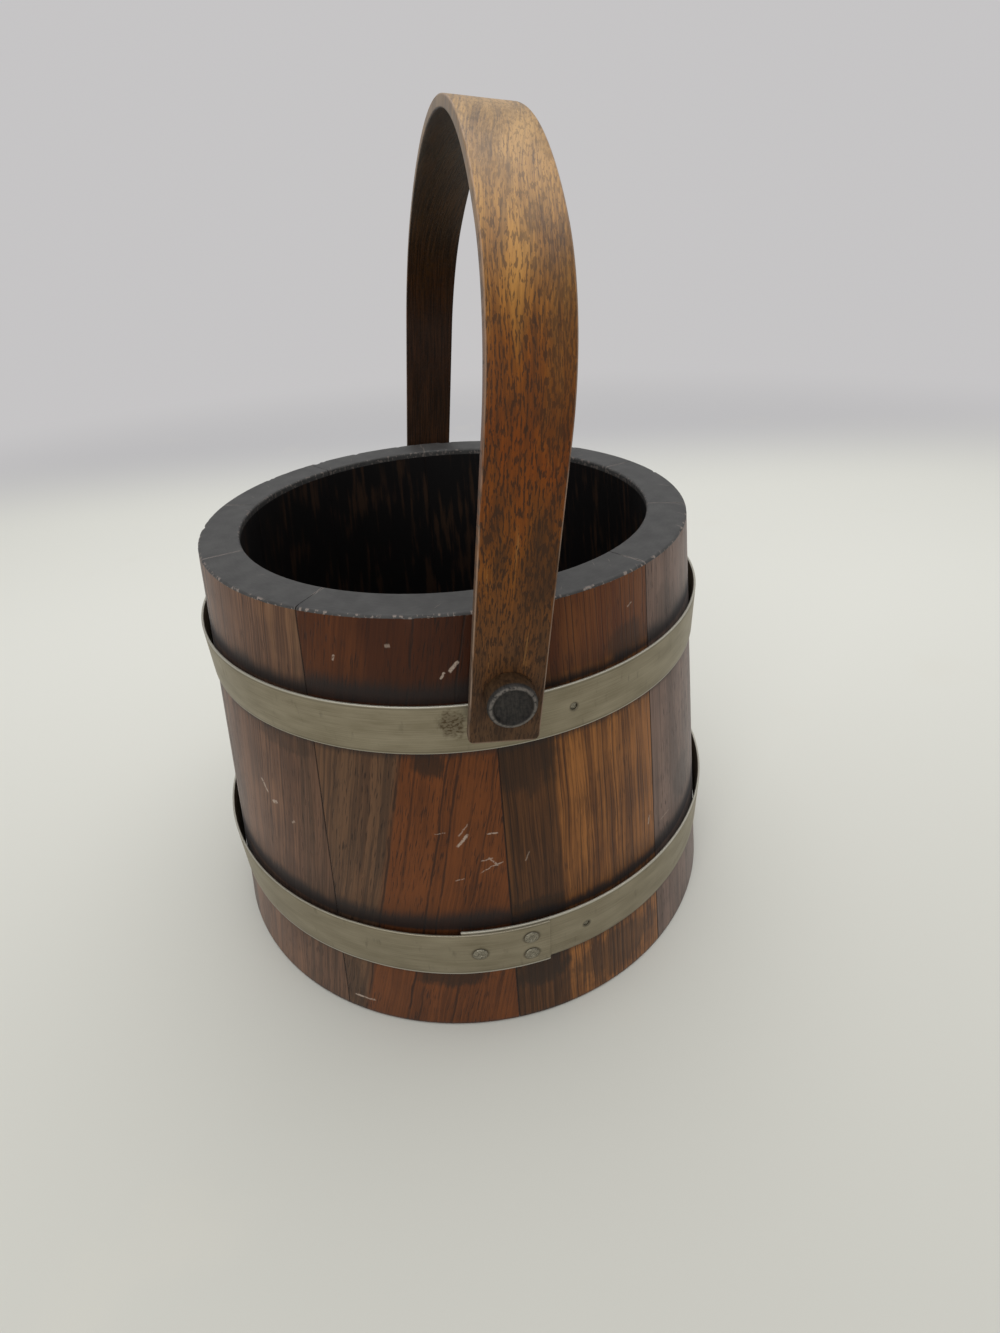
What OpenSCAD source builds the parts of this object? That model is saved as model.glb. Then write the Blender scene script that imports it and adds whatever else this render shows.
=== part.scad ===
// Stave-built wooden bucket, wider at the foot than at the rim, with two steel hoops
// and a bentwood handle that swings on two wooden pins.
// The origin is the centre of the foot on the surface the bucket stands on, +Z is up,
// and the handle turns about a line parallel to Y.

/* [Body] */
// Outer diameter at the rim
top_d = 216; // [190:1:240]
// Outer diameter at the foot
base_d = 260; // [244:1:290]
// Height of the staves
body_h = 199; // [190:1:230]
// Thickness of the staves, measured level
stave_t = 17; // [15:0.5:22]
// Number of staves round the body
stave_count = 10; // [8:1:16]
// Bevel on the corners of the rim and the foot
edge_bevel = 1; // [0.5:0.25:2]

/* [Bottom] */
// Height of the underside of the bottom above the foot
bottom_z = 14; // [8:1:24]
// Thickness of the bottom boards
board_t = 12; // [8:0.5:16]
// Width of the middle board
board_w = 76; // [60:1:90]
// Depth of the groove that holds the bottom
groove_depth = 5; // [3:0.5:7]
// Diameter of the dowels between the boards
dowel_d = 6; // [4:0.5:7]
// Length of each dowel
dowel_l = 30; // [20:1:40]
// Distance of each dowel from the middle of its joint
dowel_y = 55; // [30:1:80]

/* [Hoops] */
// Thickness of the hoop strip
hoop_t = 1; // [0.6:0.1:1.6]
// Distance of the upper hoop's upper edge below the rim
upper_hoop_drop = 32.5; // [30:0.5:45]
// Width of the upper hoop
upper_hoop_w = 21; // [16:0.5:24]
// Height of the lower hoop's lower edge
lower_hoop_z = 35; // [30:0.5:60]
// Width of the lower hoop
lower_hoop_w = 25; // [18:0.5:30]
// Angle from the near pin to the end of the upper hoop's strip
upper_hoop_end = 187; // [175:1:195]
// Angle from the near pin to the end of the lower hoop's strip
lower_hoop_end = 7; // [-5:1:9]
// Angle that the ends of a strip overlap
lap_angle = 17; // [14:0.5:24]
// Angle over which the strip rises on to its own end
rise_angle = 20; // [10:1:30]
// Diameter of a rivet head
rivet_head_d = 6.3; // [4:0.1:7]
// Height of a rivet head
rivet_head_h = 0.7; // [0.4:0.1:1]
// Diameter of a rivet shank
rivet_d = 3; // [2:0.1:3.5]
// Upright distance between the two rivets of a pair
rivet_pitch = 10.6; // [8:0.1:12]
// Number of brads through each hoop
brad_count = 3; // [2:1:6]
// Angle of the first brad from the near pin
brad_turn = 15; // [10:1:30]
// Diameter of a brad's head
brad_head_d = 2.6; // [2:0.1:4]
// Diameter of a brad's shank
brad_d = 1.6; // [1:0.1:1.8]
// Length of a brad that is driven into the wood
brad_bite = 8; // [5:0.5:11]

/* [Handle] */
// Width of the bentwood strap
strap_w = 25.4; // [20:0.2:30]
// Thickness of the strap
strap_t = 4; // [3:0.1:6]
// Height of the straight legs above the pins
leg_h = 83.5; // [75:0.5:120]
// Rise of the bow above the straight legs
bow_rise = 87; // [80:0.5:120]
// Outer radius of the bends between the legs and the crown
bend_r = 66.5; // [50:0.5:72]
// Length of the strap below the pins
tail = 20.4; // [14:0.2:26]
// Radius of the corners at the strap's ends
tail_r = 2.5; // [1:0.25:5]
// Lean of the handle at rest
lean = 6.4; // [0:0.2:12]

/* [Pins] */
// Diameter of a pin's shank
pin_d = 12; // [9:0.5:13]
// Diameter of a pin's head
pin_head_d = 17.2; // [15:0.2:21]
// Length of a pin's head
pin_head_l = 8.5; // [5:0.5:12]
// Diameter of the dish in a pin's head
pin_dish_d = 13.6; // [8:0.2:14]
// Depth of the dish
pin_dish = 1.2; // [0.5:0.1:2.5]
// Bevel round a pin's head
pin_bevel = 1.4; // [0.5:0.1:1.6]
// Depth of a pin in the wall, from its flat seat
pin_depth = 11; // [6:0.5:12]
// Diameter of the spacer between wall and strap
spacer_d = 16; // [14:0.5:20]
// Distance of the pins' line from the middle of the body
pin_x = 3.1; // [-4:0.1:4]

/* [Clearances] */
// Radial gap between a pin and the strap's hole
pin_play = 0.08; // [0.05:0.01:0.1]
// Gap on each side of the strap, at the head and at the spacer
side_gap = 0.3; // [0.2:0.05:0.6]
// Gap between the upper hoop and the strap
strap_clear = 4.7; // [2.5:0.1:8]
// Gap between the upper hoop's top edge and the spacers
hoop_to_spacer = 0.5; // [0.3:0.1:3]
// Gap between a hoop and the staves at the hoop's lower edge
hoop_fit = 0.05; // [0.02:0.01:0.1]
// Gap between the two layers of a hoop, and under its rivets' heads
lap_gap = 0.05; // [0.05:0.01:0.2]
// Radial gap of every glued or driven round fit
glue_gap = 0.05; // [0.02:0.01:0.1]
// Gap at the rim and the top face of the bottom in its groove
groove_gap = 0.2; // [0.1:0.05:0.5]

/* [Hidden] */
$fn = 96;
steel = [0.50, 0.48, 0.41];
handle_wood = [0.52, 0.33, 0.16];
pin_wood = [0.22, 0.17, 0.13];
board_wood = [0.16, 0.11, 0.08];
stave_tones = [
    [0.45, 0.26, 0.12],
    [0.25, 0.16, 0.11],
    [0.36, 0.20, 0.11],
    [0.28, 0.14, 0.09],
    [0.46, 0.22, 0.10]
];

stave_angle = 360 / stave_count;
spare = 1;

function outer_r(z) = base_d / 2 + (top_d - base_d) / 2 * z / body_h;
function inner_r(z) = outer_r(z) - stave_t;
function stave_name(i) = str("stave_", i < 9 ? "0" : "", i + 1);

groove_r = inner_r(bottom_z) + groove_depth;
groove_top = bottom_z + board_t + groove_gap;
board_r = groove_r - groove_gap;

upper_hoop_z = body_h - upper_hoop_drop - upper_hoop_w;
upper_hoop_mid = upper_hoop_z + upper_hoop_w / 2;
lower_hoop_mid = lower_hoop_z + lower_hoop_w / 2;
upper_hoop_r = outer_r(upper_hoop_z) + hoop_fit;
lower_hoop_r = outer_r(lower_hoop_z) + hoop_fit;
// how far the rivet pair stands from the strip's outer end, and the single rivet from its inner one
pair_turn = 3.8;
single_turn = 3.3;
rivet_l = 2 * (hoop_t + lap_gap);
strip_step = 3;
strip_angles = [each [0 : strip_step : 360 + lap_angle - strip_step / 2], 360 + lap_angle];
brad_head_t = 0.7 * hoop_t;
brad_sink = 0.2 * hoop_t;

pin_z = upper_hoop_z + upper_hoop_w + hoop_to_spacer + spacer_d / 2;
bow_r = upper_hoop_r + hoop_t + strap_clear + strap_t;
strap_in = bow_r - strap_t;
crown_r = (pow(bow_r - bend_r, 2) + pow(bow_rise, 2) - pow(bend_r, 2)) / (2 * (bow_rise - bend_r));
bend_angle = atan2(crown_r - bow_rise, bow_r - bend_r);
crown_steps = 32;
bend_steps = 20;
// the flat seat is cut just deep enough for the whole spacer to bed on it
seat_y = sqrt(pow(outer_r(pin_z + spacer_d / 2), 2) - pow(abs(pin_x) + spacer_d / 2, 2));
spacer_l = strap_in - side_gap - seat_y;
head_y = bow_r + side_gap;

// Angles round the body start at the near pin, on -Y, and grow towards +X.
module round_to(turn) rotate([0, 0, turn - 90]) children();

// Children's Z axis points straight out of the wall.
module on_wall(turn, r, z) round_to(turn) translate([r, 0, z]) rotate([0, 90, 0]) children();

// Children's Z axis lies along the pins' line, out of the wall, from a distance y.
module on_pin_line(y, far = false)
    mirror([0, far ? 1 : 0, 0]) translate([pin_x, -y, pin_z]) rotate([90, 0, 0]) children();

// Staves

module stave(i) {
    color(stave_tones[i % len(stave_tones)])
    difference() {
        round_to(stave_angle * i) rotate_extrude(angle = stave_angle) stave_section();
        for (far = [false, true]) {
            on_pin_line(seat_y, far) cylinder(d = spacer_d + 2 * glue_gap, h = outer_r(0));
            on_pin_line(seat_y - pin_depth, far) cylinder(d = pin_d + 2 * glue_gap, h = outer_r(0));
        }
        brad_holes(upper_hoop_r, upper_hoop_mid, brad_d);
        brad_holes(lower_hoop_r, lower_hoop_mid, brad_d);
    }
}

module stave_section() {
    top = body_h - edge_bevel;
    polygon([
        [inner_r(0) + edge_bevel, 0],
        [outer_r(0) - edge_bevel, 0],
        [outer_r(edge_bevel), edge_bevel],
        [outer_r(top), top],
        [outer_r(body_h) - edge_bevel, body_h],
        [inner_r(body_h) + edge_bevel, body_h],
        [inner_r(top), top],
        [inner_r(groove_top), groove_top],
        [groove_r, groove_top],
        [groove_r, bottom_z],
        [inner_r(bottom_z), bottom_z],
        [inner_r(edge_bevel), edge_bevel]
    ]);
}

// Bottom

module bottom_board(from_x, to_x) {
    color(board_wood)
    difference() {
        intersection() {
            translate([0, 0, bottom_z]) cylinder(r = board_r, h = board_t);
            translate([from_x, -board_r, bottom_z]) cube([to_x - from_x, 2 * board_r, board_t]);
        }
        dowels(dowel_d + 2 * glue_gap, dowel_l + 2 * glue_gap);
    }
}

module dowels(d, l)
    for (x = [-board_w / 2, board_w / 2], y = [-dowel_y, dowel_y])
        translate([x - l / 2, y, bottom_z + board_t / 2]) rotate([0, 90, 0]) cylinder(d = d, h = l);

module bottom_dowels() color("burlywood") dowels(dowel_d, dowel_l);

// Hoops

// A strip bent once round the body, with its last stretch lying on its own first stretch
// and ending at the angle turn.
module hoop(r, z, w, turn) {
    color(steel)
    difference() {
        round_to(turn - lap_angle) translate([0, 0, z]) linear_extrude(w) polygon(strip_outline(r));
        for (spot = rivet_spots(turn, z + w / 2))
            on_wall(spot[0], r - spare, spot[1])
                cylinder(d = rivet_d + 2 * glue_gap, h = 3 * hoop_t + 2 * spare);
        brad_holes(r, z + w / 2, brad_head_d);
    }
}

// The strip seen from above, along one face and back along the other. It climbs off the wall
// just before it meets its own start. The corners stand out a little, so that no flat cuts into r.
function strip_face(r) = [for (a = strip_angles)
    let (climb = min(max(1 - (360 - a) / rise_angle, 0), 1))
    (r + climb * (hoop_t + lap_gap)) / cos(strip_step / 2) * [cos(a), sin(a)]];

function strip_outline(r) = let (outside = strip_face(r + hoop_t), last = len(outside) - 1)
    concat(strip_face(r), [for (k = [last : -1 : 0]) outside[k]]);

// A pair of rivets near the strip's end and a single one near the end that it covers
function rivet_spots(turn, mid_z) = [
    [turn - pair_turn, mid_z - rivet_pitch / 2],
    [turn - pair_turn, mid_z + rivet_pitch / 2],
    [turn - lap_angle + single_turn, mid_z]
];

module hoop_rivets(r, mid_z, turn)
    color(steel) for (spot = rivet_spots(turn, mid_z))
        on_wall(spot[0], r + rivet_l, spot[1]) rivet();

// Hollow-ended rivet, its head's underside at zero
module rivet() {
    dimple = rivet_d / 3;
    rotate_extrude() polygon([
        [0, -rivet_l],
        [rivet_d / 2, -rivet_l],
        [rivet_d / 2, 0],
        [rivet_head_d / 2, 0],
        [rivet_head_d / 2, rivet_head_h / 2],
        [rivet_head_d / 2 - rivet_head_h, rivet_head_h],
        [dimple, rivet_head_h],
        [dimple * 0.8, rivet_head_h / 4],
        [0, rivet_head_h / 4]
    ]);
}

module brads(r, mid_z)
    color(steel) for (k = [0 : brad_count - 1])
        on_wall(brad_turn + 360 / brad_count * k, r + hoop_t - brad_sink, mid_z) brad(outer_r(mid_z), r);

// Its head's face is at zero, and its shank reaches into the wall at wall_r.
module brad(wall_r, r) {
    l = r + hoop_t - brad_sink - wall_r + brad_bite;
    translate([0, 0, -brad_head_t]) cylinder(d = brad_head_d, h = brad_head_t);
    translate([0, 0, -l]) cylinder(d = brad_d, h = l);
}

module brad_holes(r, mid_z, d)
    for (k = [0 : brad_count - 1])
        on_wall(brad_turn + 360 / brad_count * k, outer_r(mid_z) - brad_bite - glue_gap, mid_z)
            cylinder(d = d + 2 * glue_gap, h = r - outer_r(mid_z) + brad_bite + 3 * hoop_t);

// Handle and pins

module bail_handle() {
    color(handle_wood)
    translate([pin_x, 0, pin_z]) rotate([0, lean, 0])
    difference() {
        // drawn with x along the pins and y up, then turned to stand
        rotate([90, 0, 90]) {
            for (side = [0, 1]) mirror([side, 0, 0]) bow_leg();
            linear_extrude(strap_w, center = true) polygon(bow_outline());
        }
        rotate([90, 0, 0]) cylinder(r = pin_d / 2 + pin_play, h = 2 * bow_r + 2 * spare, center = true);
    }
}

module bow_leg()
    translate([strap_in, 0, 0]) rotate([0, 90, 0]) linear_extrude(strap_t) {
        translate([-strap_w / 2, tail_r - tail]) square([strap_w, tail - tail_r + leg_h]);
        translate([tail_r - strap_w / 2, -tail]) square([strap_w - 2 * tail_r, tail_r]);
        for (side = [-1, 1])
            translate([side * (strap_w / 2 - tail_r), tail_r - tail]) circle(tail_r);
    }

// The bow's round stretches, at an inset from its outer face
function arc(centre, r, from, to, steps) =
    [for (k = [0 : steps]) centre + r * [for (f = [0, 90]) cos(from + (to - from) * k / steps - f)]];

function bow_side(inset) = let (
    crown_y = leg_h + bow_rise - crown_r,
    crown = arc([0, crown_y], crown_r - inset, bend_angle, 180 - bend_angle, crown_steps)
) concat(
    arc([bow_r - bend_r, leg_h], bend_r - inset, 0, bend_angle, bend_steps),
    [for (k = [1 : crown_steps - 1]) crown[k]],
    arc([bend_r - bow_r, leg_h], bend_r - inset, 180 - bend_angle, 180, bend_steps)
);

function bow_outline() = let (inner = bow_side(strap_t), last = len(inner) - 1)
    concat(bow_side(0), [for (k = [last : -1 : 0]) inner[k]]);

// A turned pin, glued into the wall, whose head keeps the strap on
module pin(far) {
    shank_l = head_y - seat_y;
    color(pin_wood)
    on_pin_line(seat_y, far) rotate_extrude() polygon([
        [0, -pin_depth + glue_gap],
        [pin_d / 2, -pin_depth + glue_gap],
        [pin_d / 2, shank_l],
        [pin_head_d / 2, shank_l],
        [pin_head_d / 2, shank_l + pin_head_l - pin_bevel],
        [pin_head_d / 2 - pin_bevel, shank_l + pin_head_l],
        [pin_dish_d / 2, shank_l + pin_head_l],
        [pin_dish_d / 2, shank_l + pin_head_l - pin_dish],
        [0, shank_l + pin_head_l - pin_dish]
    ]);
}

module spacer(far)
    color(pin_wood)
    on_pin_line(seat_y, far) difference() {
        cylinder(d = spacer_d, h = spacer_l);
        translate([0, 0, -spare]) cylinder(d = pin_d + 2 * glue_gap, h = spacer_l + 2 * spare);
    }

for (i = [0 : stave_count - 1]) stave(i);
bottom_board(-board_r, -board_w / 2);  // bottom_board_left
bottom_board(-board_w / 2, board_w / 2);  // bottom_board_middle
bottom_board(board_w / 2, board_r);  // bottom_board_right
bottom_dowels();
hoop(upper_hoop_r, upper_hoop_z, upper_hoop_w, upper_hoop_end);  // upper_hoop
hoop_rivets(upper_hoop_r, upper_hoop_mid, upper_hoop_end);  // upper_hoop_rivets
brads(upper_hoop_r, upper_hoop_mid);  // upper_hoop_brads
hoop(lower_hoop_r, lower_hoop_z, lower_hoop_w, lower_hoop_end);  // lower_hoop
hoop_rivets(lower_hoop_r, lower_hoop_mid, lower_hoop_end);  // lower_hoop_rivets
brads(lower_hoop_r, lower_hoop_mid);  // lower_hoop_brads
spacer(false);  // near_spacer
spacer(true);  // far_spacer
pin(false);  // near_pin
pin(true);  // far_pin
bail_handle();
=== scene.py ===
import math

import bmesh
import bpy
from mathutils import Matrix, Vector, noise


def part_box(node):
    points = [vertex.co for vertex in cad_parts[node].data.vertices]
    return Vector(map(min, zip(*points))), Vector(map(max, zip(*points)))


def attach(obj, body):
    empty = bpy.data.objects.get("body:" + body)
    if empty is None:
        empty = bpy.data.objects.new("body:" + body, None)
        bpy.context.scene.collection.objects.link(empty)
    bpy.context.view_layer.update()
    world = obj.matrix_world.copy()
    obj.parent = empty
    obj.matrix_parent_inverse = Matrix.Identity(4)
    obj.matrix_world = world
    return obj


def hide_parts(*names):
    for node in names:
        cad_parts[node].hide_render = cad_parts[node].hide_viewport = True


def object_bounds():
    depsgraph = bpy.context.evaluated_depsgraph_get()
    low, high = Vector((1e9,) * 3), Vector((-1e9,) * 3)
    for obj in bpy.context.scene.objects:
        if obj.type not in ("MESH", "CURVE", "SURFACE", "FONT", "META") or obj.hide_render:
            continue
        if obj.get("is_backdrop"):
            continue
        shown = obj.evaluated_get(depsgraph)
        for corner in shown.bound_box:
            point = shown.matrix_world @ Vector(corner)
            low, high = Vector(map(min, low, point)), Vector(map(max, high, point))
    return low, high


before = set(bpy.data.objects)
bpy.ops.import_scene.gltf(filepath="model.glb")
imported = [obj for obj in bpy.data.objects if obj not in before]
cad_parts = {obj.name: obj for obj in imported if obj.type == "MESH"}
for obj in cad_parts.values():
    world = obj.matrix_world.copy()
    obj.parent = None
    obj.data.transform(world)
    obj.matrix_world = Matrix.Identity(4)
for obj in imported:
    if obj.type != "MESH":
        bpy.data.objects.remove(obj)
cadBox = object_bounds()
mm = 0.001

# sizes of the body, in millimetres; angles round it start at the near pin and grow towards +X
body = {"height": 199, "footRadius": 130, "rimRadius": 108, "wall": 17, "staves": 10,
        "bottomFrom": 14, "bottomThick": 12, "grooveDepth": 5}


def wallRadius(up):
    return body["footRadius"] + (body["rimRadius"] - body["footRadius"]) * up / body["height"]


def around(radius, turn, up):  # a point of the bucket in metres
    a = math.radians(turn - 90)
    return Vector((radius * math.cos(a), radius * math.sin(a), up)) * mm


# shader wires

class Wire:  # one output of a shader node, which can be reckoned with like a number
    def __init__(self, tree, socket=None):
        self.tree, self.socket = tree, socket

    def node(self, kind, settings=None, values=None, out=0):
        made = self.tree.nodes.new("ShaderNode" + kind)
        for key, value in (settings or {}).items():
            if key == "stops":
                ramp = made.color_ramp.elements
                while len(ramp) < len(value):
                    ramp.new(0.5)
                for stop, (place, colour) in zip(ramp, value):
                    stop.position, stop.color = place, (*colour, 1)
            else:
                setattr(made, key, value)
        for key, value in (values or {}).items():
            if isinstance(value, Wire):
                self.tree.links.new(value.socket, made.inputs[key])
            else:
                made.inputs[key].default_value = value
        return Wire(self.tree, made.outputs[out] if made.outputs else None)

    def sibling(self, out):
        return Wire(self.tree, self.socket.node.outputs[out])

    def math(self, operation, *terms):
        return self.node("Math", {"operation": operation}, dict(enumerate(terms)))

    def __add__(self, other):
        return self.math("ADD", self, other)

    def __sub__(self, other):
        return self.math("SUBTRACT", self, other)

    def __rsub__(self, other):
        return self.math("SUBTRACT", other, self)

    def __mul__(self, other):
        return self.math("MULTIPLY", self, other)

    def __truediv__(self, other):
        return self.math("DIVIDE", self, other)

    def __abs__(self):
        return self.math("ABSOLUTE", self)

    def __neg__(self):
        return self.math("MULTIPLY", self, -1)

    __radd__, __rmul__ = __add__, __mul__

    def rise(self, low, high):  # 0 at low, 1 at high, smooth between, and falling where low is the higher
        return self.node("MapRange", {"interpolation_type": "SMOOTHSTEP"}, {0: self, 1: low, 2: high})

    def most(self, other):
        return self.math("MAXIMUM", self, other)

    def least(self, other):
        return self.math("MINIMUM", self, other)

    # noise about 0.5, stretched by what x and y are scaled with
    def cloud(self, x, y, z=0.0, detail=2.0, roughness=0.5):
        place = self.node("CombineXYZ", {}, {0: x, 1: y, 2: z})
        return self.node("TexNoise", {}, {"Vector": place, "Scale": 1.0, "Detail": detail,
                                          "Roughness": roughness})

    def blend(self, first, second, share, way="MIX"):  # colours
        return self.node("Mix", {"data_type": "RGBA", "blend_type": way},
                         {0: share, 6: shade(first), 7: shade(second)}, out=2)


def shade(colour):
    return (*colour, 1) if isinstance(colour, tuple) and len(colour) == 3 else colour


def newMaterial(name):
    material = bpy.data.materials.new(name)
    material.use_nodes = True
    material.node_tree.nodes.clear()
    return material, Wire(material.node_tree)


def finishMaterial(material, sheet, colour, roughness, height=None, bump=0.2, depth=0.0002, coat=None,
                   **fixed):
    values = {"Base Color": colour, "Roughness": roughness}
    if coat is not None:
        values["Coat Weight"] = coat
    if height is not None:
        values["Normal"] = sheet.node("Bump", {}, {"Strength": bump, "Distance": depth, "Height": height})
    values.update({key.replace("_", " "): value for key, value in fixed.items()})
    surface = sheet.node("BsdfPrincipled", {}, values)
    sheet.node("OutputMaterial", {}, {"Surface": surface})
    return material


def bodyPlace(sheet):  # turn in degrees, radius and height in millimetres
    split = sheet.node("SeparateXYZ", {}, {0: sheet.node("TexCoord", out="Object")})
    x, y, z = split * 1000, split.sibling(1) * 1000, split.sibling(2) * 1000
    turn = sheet.math("ARCTAN2", x, -y) * 57.29578
    radius = sheet.math("SQRT", x * x + y * y)
    return turn, radius, z


# mesh tools

def makeObject(name, verts, faces, materials, slots=None, sharpAngle=35):
    mesh = bpy.data.meshes.new(name)
    mesh.from_pydata(verts, [], faces)
    for material in materials:
        mesh.materials.append(material)
    if slots:
        mesh.polygons.foreach_set("material_index", slots)
    work = bmesh.new()
    work.from_mesh(mesh)
    bmesh.ops.recalc_face_normals(work, faces=work.faces)
    softenFaces(work, sharpAngle)
    work.to_mesh(mesh)
    work.free()
    piece = bpy.data.objects.new(name, mesh)
    bpy.context.scene.collection.objects.link(piece)
    return piece


def softenFaces(work, sharpAngle):
    for face in work.faces:
        face.smooth = True
    for edge in work.edges:
        edge.smooth = len(edge.link_faces) == 2 and edge.calc_face_angle(0) < math.radians(sharpAngle)


def loft(rings, closed=False):  # quads between rings of points, and a cap on each end of an open row
    count = len(rings[0])
    verts = [point for ring in rings for point in ring]
    faces = []
    for i in range(len(rings) if closed else len(rings) - 1):
        a, b = i * count, (i + 1) % len(rings) * count
        faces += [(a + k, a + (k + 1) % count, b + (k + 1) % count, b + k) for k in range(count)]
    if not closed:
        faces += [tuple(reversed(range(count))), tuple(range(len(verts) - count, len(verts)))]
    return verts, faces


# (radius, height) pairs from the axis out and back, turned about Z, in millimetres
def lathe(profile, steps=64):
    verts, faces, rows = [], [], []
    for radius, height in profile:
        if radius == 0:
            rows.append([len(verts)] * steps)
            verts.append(Vector((0, 0, height)) * mm)
        else:
            rows.append(list(range(len(verts), len(verts) + steps)))
            verts += [Vector((radius * math.cos(a), radius * math.sin(a), height)) * mm
                      for a in (2 * math.pi * k / steps for k in range(steps))]
    for low, high in zip(rows, rows[1:]):
        for k in range(steps):
            n = (k + 1) % steps
            corners = [low[k], low[n], high[n], high[k]]
            faces.append(tuple(dict.fromkeys(corners)))
    return verts, faces


def roundCorner(centre, radius, start, end, steps=4):
    return [(centre[0] + radius * math.cos(math.radians(start + (end - start) * k / steps)),
             centre[1] + radius * math.sin(math.radians(start + (end - start) * k / steps)))
            for k in range(steps + 1)]


def outward(turn, radius, up):  # a frame on the wall whose Z points straight out
    return (Matrix.Rotation(math.radians(turn - 90), 4, "Z") @ Matrix.Translation(Vector((radius, 0, up))
                                                                                  * mm)
            @ Matrix.Rotation(math.radians(90), 4, "Y"))


def placed(shape, frames):  # copies of one shape, in one mesh
    verts, faces = [], []
    for place in frames:
        start = len(verts)
        verts += [place @ point for point in shape[0]]
        faces += [tuple(start + k for k in face) for face in shape[1]]
    return verts, faces


def tremble(x, y, seed):  # gentle noise from -1 to 1
    return noise.noise(Vector((x, y, seed * 7.3)))


# stave wood

darkPore = (0.012, 0.007, 0.005)
# near-black used to paint shade in the creases along the hoops and at the foot
paintedShadeDark = (0.015, 0.012, 0.011)
burnt = (0.024, 0.012, 0.006)
scuffPale = (0.42, 0.33, 0.26)
perDegree = 2.077  # millimetres round the wall for each degree

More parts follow.
